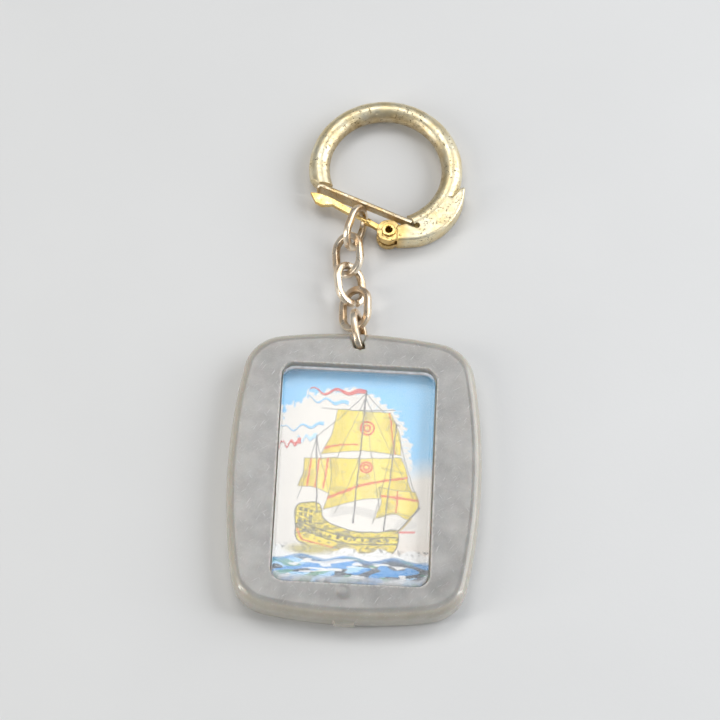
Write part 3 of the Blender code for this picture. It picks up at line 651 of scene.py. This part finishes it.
def build_cover():
    """The clear cover, whose sloping top and bottom ends are marked as its crown, which carries the painted
    reflection.
    """
    mesh = remeshed("window_cover")
    tilt = np.abs(normals_of(mesh)[:, 1])
    on_top = normals_of(mesh)[:, 2] > 0.02
    add_values(mesh, "crown", np.clip((tilt - 0.1) / 0.35, 0, 1) * on_top)
    new_object("clear_cover", mesh, clear_plastic(), "fob", "window_cover")


def build_picture():
    """The printed insert, and the plain board behind it, which keeps its CAD shape."""
    low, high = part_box("picture_card")
    size = high - low
    print_art = Print(size.x / MM, size.y / MM)
    paint_ship(print_art)
    mesh = print_art.to_mesh(low, high)
    new_object("picture_print", mesh, printed_card(), "fob", "picture_card")
    backing = frame["nodes"]["backing_card"].data
    backing.materials.clear()
    backing.materials.append(plain_card())


# The printed picture: colours worked out point by point on a fine grid.


PRINT_STEP = 0.085
PRINT_SEED = 7
INK_WOBBLE = 0.14
FAR_AWAY = 99.0
PAPER = (0.78, 0.75, 0.69)
SKY = (0.20, 0.56, 0.88)
PALE_BLUE = (0.42, 0.68, 0.88)
YELLOW = (0.84, 0.68, 0.08)
PALE_YELLOW = (0.87, 0.80, 0.36)
OCHRE = (0.52, 0.38, 0.08)
RED = (0.70, 0.07, 0.06)
GREY = (0.16, 0.16, 0.16)
DARK = (0.07, 0.08, 0.09)
SEA = (0.06, 0.30, 0.66)
GREEN = (0.14, 0.36, 0.24)
FOAM = (0.80, 0.80, 0.78)
BLUSH = (0.72, 0.55, 0.44)
SOILED = (0.62, 0.60, 0.58)
CANVAS = (0.66, 0.64, 0.60)
SHADED_CANVAS = (0.62, 0.60, 0.56)
OLIVE = (0.48, 0.42, 0.14)


def smooth_line(points, closed=False, steps=8):
    """A Catmull-Rom curve through the points."""
    points = [np.array(p, float) for p in points]
    if closed:
        points = [points[-1]] + points + points[:2]
    else:
        points = [2 * points[0] - points[1]] + points + [2 * points[-1] - points[-2]]
    line = []
    for a, b, c, d in zip(points, points[1:], points[2:], points[3:]):
        for t in np.arange(steps) / steps:
            line.append(
                0.5 * (2 * b + (c - a) * t + (2 * a - 5 * b + 4 * c - d) * t ** 2
                       + (3 * b - a - 3 * c + d) * t ** 3)
            )
    if not closed:
        line.append(points[-2])
    return line


class Print:
    """A picture on a grid over the card, in millimetres from the card's lower left corner."""

    def __init__(self, width, height):
        self.width, self.height = width, height
        self.columns = round(width / PRINT_STEP) + 1
        self.rows = round(height / PRINT_STEP) + 1
        self.random = np.random.default_rng(PRINT_SEED)
        x, y = np.linspace(0, width, self.columns), np.linspace(0, height, self.rows)
        self.grid_x, self.grid_y = np.meshgrid(x, y)
        self.x = self.grid_x + INK_WOBBLE * (self.clouds(0.9, 0.9) - 0.5)
        self.y = self.grid_y + INK_WOBBLE * (self.clouds(0.9, 0.9) - 0.5)
        self.ink = np.ones((self.rows, self.columns, 3)) * PAPER

    def clouds(self, size_x, size_y):
        """Smooth noise from 0 to 1 with features of this size."""
        cells_x = int(self.width / size_x) + 6
        cells_y = int(self.height / size_y) + 6
        values = self.random.random((cells_y, cells_x))
        drift_x = 0.8 * np.sin(self.grid_y * 0.9 / size_y + np.sin(self.grid_x * 0.6 / size_x))
        drift_y = 0.8 * np.sin(self.grid_x * 0.7 / size_x + 1.3 * np.sin(self.grid_y * 0.5 / size_y))
        u, v = self.grid_x / size_x + 1.5 + drift_x, self.grid_y / size_y + 1.5 + drift_y
        i, j = u.astype(int), v.astype(int)
        s, t = u - i, v - j
        s, t = s * s * (3 - 2 * s), t * t * (3 - 2 * t)
        low = values[j, i] * (1 - s) + values[j, i + 1] * s
        high = values[j + 1, i] * (1 - s) + values[j + 1, i + 1] * s
        return low * (1 - t) + high * t

    def lay(self, amount, colour):
        """Ink of one colour over the grid, as thick as the amount from 0 to 1."""
        amount = np.clip(amount, 0, 1)[..., None]
        self.ink = self.ink * (1 - amount) + np.array(colour) * amount

    def distance(self, points):
        """Distance of each grid point from an open line."""
        points = [np.array(p, float) for p in points]
        nearest = np.full(self.x.shape, FAR_AWAY)
        for a, b in zip(points, points[1:]):
            run = b - a
            length = max(float(run @ run), 1e-9)
            t = np.clip(((self.x - a[0]) * run[0] + (self.y - a[1]) * run[1]) / length, 0, 1)
            apart = np.hypot(self.x - a[0] - t * run[0], self.y - a[1] - t * run[1])
            nearest = np.minimum(nearest, apart)
        return nearest

    def inside(self, points):
        """Which grid points lie inside a closed outline."""
        crossing = np.zeros(self.x.shape, bool)
        for a, b in zip(points, points[1:] + points[:1]):
            if a[1] == b[1]:
                continue
            at = a[0] + (self.y - a[1]) * (b[0] - a[0]) / (b[1] - a[1])
            crossing ^= ((a[1] > self.y) != (b[1] > self.y)) & (self.x < at)
        return crossing

    def fill(self, points, colour, opacity=1.0):
        points = [tuple(p) for p in points]
        self.lay(self.inside(points) * opacity, colour)

    def stroke(self, points, width, colour, opacity=1.0):
        """A line of this width with soft edges."""
        soft = PRINT_STEP * 0.7
        amount = np.clip((width / 2 + soft - self.distance(points)) / soft, 0, 1)
        self.lay(amount * opacity, colour)

    def to_mesh(self, low, high):
        """The card as a thin closed slab with rounded corners and the picture on its top."""
        size = high - low
        x = self.grid_x * MM - size.x / 2
        y = self.grid_y * MM - size.y / 2
        corner = CARD_CORNER
        over_x = np.maximum(np.abs(x) - size.x / 2 + corner, 0)
        over_y = np.maximum(np.abs(y) - size.y / 2 + corner, 0)
        reach = np.maximum(np.hypot(over_x, over_y), corner)
        x = np.sign(x) * (np.abs(x) - over_x * (1 - corner / reach))
        y = np.sign(y) * (np.abs(y) - over_y * (1 - corner / reach))
        middle = (low + high) / 2
        top = np.stack([x + middle.x, y + middle.y, np.full(x.shape, high.z)], axis=-1).reshape(-1, 3)
        index = np.arange(self.rows * self.columns).reshape(self.rows, self.columns)
        faces = np.stack([index[:-1, :-1], index[:-1, 1:], index[1:, 1:], index[1:, :-1]], -1)
        rim = np.concatenate([index[0, :-1], index[:-1, -1], index[-1, :0:-1], index[:0:-1, 0]])
        below = top[rim] - (0, 0, size.z)
        count = len(top)
        foot = count + np.arange(len(rim))
        walls = np.stack([rim, foot, np.roll(foot, -1), np.roll(rim, -1)], -1)
        mesh = bpy.data.meshes.new("picture_print")
        polygons = faces.reshape(-1, 4).tolist() + walls.tolist() + [foot[::-1].tolist()]
        mesh.from_pydata(np.concatenate([top, below]).tolist(), [], polygons)
        layer = mesh.attributes.new("ink", "FLOAT_COLOR", "POINT")
        colours = np.ones((count + len(rim), 4))
        colours[:count, :3] = self.ink.reshape(-1, 3)
        colours[count:, :3] = PAPER
        layer.data.foreach_set("color", colours.astype(np.float32).ravel())
        return mesh


def hatch(art, mask, lean, spacing, share, colour, opacity):
    """Pencil lines across a part of the print, broken where the pencil lifts."""
    across = art.x * math.cos(lean) + art.y * math.sin(lean)
    lines = np.abs(np.mod(across / spacing, 1.0) - 0.5) < share / 2
    art.lay(lines * (art.clouds(0.7, 1.4) > 0.45) * mask * opacity, colour)


def paint_sky(art):
    """A white cloud with brushed edges on a blue sky, open to the left."""
    dx, dy = art.x - 9.0, art.y - 19.5
    angle = np.arctan2(dy, dx)
    reach = np.hypot(dx / 11.6, dy / 12.9)
    sweep_turn = angle + 0.9 * (reach - 1.0)
    fan = 0.045 * np.abs(np.sin(sweep_turn * 11)) + 0.05 * (np.mod(sweep_turn * 9.5, 1.0) - 0.5)
    edge = reach + fan + 0.02 * np.sin(angle * 57 - 14 * reach) + 0.08 * (art.clouds(1.6, 1.6) - 0.5)
    blue = np.clip((edge - 0.98) / 0.03, 0, 1) * np.clip((art.y - 13 - 0.2 * art.x) / 4, 0, 1)
    art.lay(blue, SKY)
    brush = np.sin(angle * 70 + 22 * reach + 5 * art.clouds(2.5, 2.5)) > 0.86
    near_edge = np.clip(1 - np.abs(edge - 0.88) / 0.11, 0, 1)
    on_right = np.clip((art.x - 12) / 3, 0, 1) * np.clip((art.y - 15) / 3, 0, 1)
    art.lay(brush * near_edge * on_right * 0.8, PALE_BLUE)
    art.lay(np.clip((9 - art.y) / 6, 0, 1) * np.clip((art.x - 13) / 6, 0, 1) * 0.45, BLUSH)
    art.lay(art.clouds(3.5, 3.5) * 0.12, SOILED)


def streamer(art, start, length, drop, width, colour):
    """A wavy pennant that flies to the left from its start."""
    upper, lower = [], []
    for i in range(17):
        t = i / 16
        x = start[0] - length * t
        y = start[1] - drop * t + 0.45 * math.sin(t * 15) * (0.4 + t)
        half = width * (1 - 0.75 * t) / 2
        upper.append((x, y + half))
        lower.append((x, y - half))
    art.fill(upper + lower[::-1], colour, 0.9)
    art.stroke(lower, 0.07, GREY, 0.5)


def sail(art, corners, belly, colour, tone=0.5):
    """A sail bellied to the right, from its lower left, lower right, upper right and upper left corners.

    Returns where it lies on the grid.
    """
    a, b, c, d = [np.array(p, float) for p in corners]
    foot = [a, (a + b) / 2 + (0, belly * 0.9), b]
    right = [b, (b + c) / 2 + (belly * 0.8, 0), c]
    head = [c, (c + d) / 2 + (0, -0.1), d]
    left = [d, (d + a) / 2 + (belly * 0.7, 0), a]
    outline = []
    for side in (foot, right, head, left):
        outline += smooth_line(side)[:-1]
    art.fill(outline, colour)
    mask = art.inside([tuple(p) for p in outline])
    across = (art.x - min(a[0], d[0])) / (max(b[0], c[0]) - min(a[0], d[0]))
    folds = 0.5 + 0.5 * np.sin(across * 13 + art.clouds(1.2, 3.0) * 4)
    art.lay(mask * np.clip(0.45 - across, 0, 1) * tone * 1.6, OCHRE)
    art.lay(mask * (folds > 0.86) * 0.35, OCHRE)
    art.lay(mask * np.clip(1 - np.abs(across - 0.6) / 0.3, 0, 1) * 0.35, PALE_YELLOW)
    hatch(art, mask * (across < 0.3), 0.25, 0.42, 0.3, GREY, 0.35)
    hatch(art, mask * (across > 0.82), -0.2, 0.5, 0.25, OCHRE, 0.45)
    art.lay(mask * (art.clouds(1.1, 0.7) > 0.8) * 0.3, GREY)
    art.stroke(outline + outline[:1], 0.1, GREY, 0.6)
    return mask


def sail_band(art, mask, start, end, sag, width):
    """A red band across a sail, brushed at its edges."""
    middle = ((start[0] + end[0]) / 2, (start[1] + end[1]) / 2 + sag)
    line = smooth_line([start, middle, end])
    ragged = width / 2 + 0.12 * (art.clouds(0.4, 0.4) - 0.5)
    amount = np.clip((ragged - art.distance(line)) / 0.1, 0, 1) * mask
    art.lay(amount * 0.8, RED)


def sail_ring(art, mask, centre, radius):
    """A plain double ring in red."""
    reach = np.hypot(art.x - centre[0], art.y - centre[1])
    for size in (radius, radius * 0.5):
        art.lay((np.abs(reach - size) < 0.16) * mask * 0.85, RED)


def paint_rigging(art):
    """Masts, yards and stays in pencil grey."""
    for foot, head, width in (
        ((11.6, 10.0), (12.7, 31.8), 0.2),
        ((6.0, 11.5), (5.4, 24.0), 0.16),
        ((16.3, 9.0), (17.6, 26.4), 0.17),
        ((18.2, 8.6), (21.6, 12.9), 0.18),
    ):
        art.stroke([foot, head], width, GREY, 0.8)
    for start, end in (
        ((12.7, 31.4), (5.6, 24.0)),
        ((12.7, 31.4), (18.0, 26.2)),
        ((12.6, 30.8), (20.5, 14.5)),
        ((12.6, 30.6), (8.4, 20.0)),
        ((12.5, 29.5), (15.6, 12.0)),
        ((17.5, 26.0), (21.5, 12.9)),
        ((17.3, 24.0), (14.6, 10.0)),
        ((5.4, 23.6), (3.0, 13.5)),
        ((5.4, 23.6), (8.3, 12.5)),
        ((12.1, 20.5), (8.8, 11.5)),
        ((6.0, 28.6), (17.4, 28.9)),
    ):
        middle = ((start[0] + end[0]) / 2, (start[1] + end[1]) / 2 - 0.25)
        art.stroke(smooth_line([start, middle, end]), 0.07, GREY, 0.6)


def paint_sails(art):
    """The sails in the order that they overlap, with their red bands and rings."""
    mask = sail(art, [(2.9, 15.6), (8.0, 14.4), (8.6, 20.6), (3.7, 20.2)], 0.5, YELLOW, 0.8)
    for x in (4.3, 5.5, 6.8):
        sail_band(art, mask, (x, 15.4), (x + 0.5, 20.3), 0.0, 0.42)
    sail(art, [(15.4, 10.9), (20.2, 10.6), (19.6, 17.4), (15.6, 17.8)], 1.1, YELLOW)
    mask = sail(art, [(7.0, 11.9), (19.2, 14.3), (18.6, 21.0), (7.6, 20.4)], 0.9, YELLOW)
    sail_band(art, mask, (7.0, 13.6), (19.4, 17.7), 0.7, 0.5)
    sail_ring(art, mask, (13.2, 19.1), 0.85)
    mask = sail(art, [(6.2, 21.0), (18.4, 21.4), (16.6, 28.4), (8.4, 28.6)], 0.7, YELLOW)
    sail_ring(art, mask, (13.1, 25.6), 1.05)
    sail_band(art, mask, (6.2, 21.9), (11.6, 22.8), 0.3, 0.4)
    sail_band(art, mask, (17.5, 21.5), (16.4, 28.4), 0.0, 0.3)
    mask = sail(art, [(14.6, 10.6), (20.4, 11.4), (20.9, 15.4), (15.4, 16.0)], 1.0, YELLOW)
    sail_band(art, mask, (15.6, 14.6), (21.6, 14.0), 0.1, 0.5)
    sail_band(art, mask, (18.0, 11.0), (18.2, 15.4), 0.0, 0.35)
    headsail = smooth_line([(17.9, 8.8), (20.6, 9.4), (21.2, 10.4), (18.6, 10.9)], True)
    art.fill(headsail, CANVAS)
    art.stroke([(18.3, 8.7), (20.9, 8.9)], 0.28, RED, 0.8)
    furled = smooth_line([(8.2, 10.8), (11.6, 11.4), (14.8, 10.8), (14.4, 12.3), (9.0, 12.6)], True)
    art.fill(furled, SHADED_CANVAS, 0.9)


def paint_hull(art):
    """A yellow hull, high at the stern, with dark wales, gun ports and stern windows."""
    stern = [(3.0, 12.4), (2.9, 9.6), (3.6, 6.6)]
    keel = [(8.0, 5.4), (14.0, 4.9), (17.6, 5.2)]
    bow = [(18.6, 7.6), (18.0, 9.2)]
    deck = [(15.4, 8.6), (11.0, 8.8), (7.4, 10.2), (6.2, 12.9)]
    hull = smooth_line(stern + keel + bow + deck, True)
    art.fill(hull, YELLOW)
    mask = art.inside([tuple(p) for p in hull])
    art.lay(mask * np.clip((7.2 - art.y) / 2.5, 0, 1) * 0.6, OCHRE)
    art.lay(mask * (art.clouds(0.5, 0.25) > 0.72) * 0.6, DARK)
    for height in (7.0, 8.1):
        wale = [(3.2, height + 1.9), (7.5, height + 0.3), (12.0, height - 0.5), (18.2, height - 0.2)]
        art.lay(np.clip((0.16 - art.distance(smooth_line(wale))) / 0.08, 0, 1) * mask * 0.75, DARK)
    for i in range(11):
        x = 4.2 + 1.25 * i
        y = 7.9 - 0.9 * math.sin(i / 10 * 2.0) + (0.7 if i < 2 else 0)
        port = [(x, y), (x + 0.45, y - 0.05), (x + 0.45, y + 0.42), (x, y + 0.47)]
        art.fill(port, DARK, 0.8)
    for row in range(3):
        for column in range(3):
            x, y = 3.3 + 0.8 * column, 9.9 + 0.85 * row - 0.15 * column
            art.fill([(x, y), (x + 0.5, y - 0.08), (x + 0.5, y + 0.45), (x, y + 0.5)], DARK, 0.75)
    hatch(art, mask * (art.y > 7.4), 0.05, 0.3, 0.4, DARK, 0.5)
    hatch(art, mask * (art.x < 7.0), 1.45, 0.42, 0.3, DARK, 0.5)
    art.lay(mask * (art.clouds(1.6, 0.5) > 0.7) * 0.6, GREY)
    art.stroke(hull + hull[:1], 0.14, DARK, 0.75)
    art.stroke([(3.2, 8.6), (4.0, 6.9), (8.6, 5.9)], 0.2, RED, 0.7)
    art.stroke(smooth_line([(17.8, 8.6), (19.0, 9.4), (20.4, 11.2)]), 0.3, OCHRE, 0.9)


def paint_sea(art):
    """Surf along the hull, the hull's reflection, and a blue swell with dark, green and foam streaks."""
    surf = 5.6 + 0.35 * np.sin(art.x * 1.3) + 0.5 * (art.clouds(1.2, 1.2) - 0.5)
    water = np.clip((surf - art.y) / 0.25, 0, 1)
    art.lay(water, FOAM)
    glow = np.clip(1 - np.hypot((art.x - 5.2) / 4.6, (art.y - 5.4) / 1.1), 0, 1)
    art.lay(glow * 1.6, OLIVE)
    roll = art.y + 0.35 * np.sin(art.x * 0.9 + 1.0)
    swell = 0.6 * art.clouds(3.4, 0.9) + 0.4 * art.clouds(1.3, 0.45)
    deep = np.clip((4.4 - roll) / 0.9, 0, 1)
    art.lay(np.clip(deep * 3, 0, 1), SEA)
    art.lay((swell > 0.58) * deep * 0.8, PALE_BLUE)
    art.lay((art.clouds(2.0, 0.5) > 0.55) * deep * 0.92, DARK)
    art.lay((art.clouds(2.2, 0.6) > 0.72) * deep * 0.8, GREEN)
    art.lay((art.clouds(1.6, 0.35) > 0.7) * deep * 0.9, FOAM)
    spray = (art.clouds(0.35, 0.3) > 0.7) * np.clip(1 - np.abs(art.y - 5.6) / 1.2, 0, 1)
    art.lay(spray * 0.7, GREY)
    art.lay(np.clip((0.9 - art.y) / 0.6, 0, 1) * 0.5, FOAM)


def paint_ship(art):
    """The whole picture, back to front; the rigging is drawn behind the sails and again over them."""
    paint_sky(art)
    streamer(art, (12.7, 31.6), 8.6, 0.2, 0.85, RED)
    streamer(art, (10.0, 29.6), 6.4, -0.5, 0.7, SKY)
    streamer(art, (6.4, 26.0), 6.2, 1.2, 0.6, SKY)
    streamer(art, (5.4, 23.8), 3.0, 0.6, 1.0, PALE_BLUE)
    streamer(art, (3.0, 22.9), 2.8, 0.8, 1.0, RED)
    paint_rigging(art)
    paint_sails(art)
    paint_hull(art)
    paint_rigging(art)
    paint_sea(art)


# Stage.


def build_floor():
    bpy.ops.mesh.primitive_plane_add(size=FLOOR_SIZE, location=(0, 0, 0))
    floor = bpy.context.object
    floor.name = "studio_floor"
    floor.data.materials.append(floor_paper())


def area_light(name, place, size, power, colour):
    """A rectangular light aimed at the origin."""
    light = bpy.data.lights.new(name, "AREA")
    light.shape = "RECTANGLE"
    light.size, light.size_y = size
    light.energy = power
    light.color = colour
    obj = bpy.data.objects.new(name, light)
    bpy.context.scene.collection.objects.link(obj)
    obj.location = place
    obj.rotation_euler = (-Vector(place)).to_track_quat("-Z", "Y").to_euler()


def build_lights():
    for name, place, size, power, colour in LIGHTS:
        area_light(name, place, size, power, colour)
    world = bpy.data.worlds.new("studio")
    bpy.context.scene.world = world
    world.use_nodes = True
    background = world.node_tree.nodes["Background"]
    background.inputs["Color"].default_value = WORLD_COLOUR
    background.inputs["Strength"].default_value = WORLD_STRENGTH


def build_camera():
    camera = bpy.data.cameras.new("camera")
    camera.lens = CAMERA_LENS
    camera.sensor_width = CAMERA_SENSOR
    camera.clip_start = CAMERA_CLIP_START
    obj = bpy.data.objects.new("camera", camera)
    bpy.context.scene.collection.objects.link(obj)
    elevation, azimuth, roll = map(math.radians, (CAMERA_ELEVATION, CAMERA_AZIMUTH, CAMERA_ROLL))
    heading = Vector((math.sin(azimuth), math.cos(azimuth), 0))
    forward = heading * math.cos(elevation) - Vector((0, 0, math.sin(elevation)))
    level = Vector((math.cos(azimuth), -math.sin(azimuth), 0))
    upright = level.cross(forward)
    right = level * math.cos(roll) + upright * math.sin(roll)
    up = upright * math.cos(roll) - level * math.sin(roll)
    turn = Matrix((right, up, -forward)).transposed().to_4x4()
    obj.matrix_world = Matrix.Translation(CAMERA_TARGET - forward * CAMERA_DISTANCE) @ turn
    bpy.context.scene.camera = obj


def main():
    build_floor()
    build_camera()
    build_lights()
    build_links()
    build_ring()
    build_clasp()
    build_fob_body()
    build_cover()
    build_picture()
    bpy.context.scene.view_settings.view_transform = "Standard"


main()
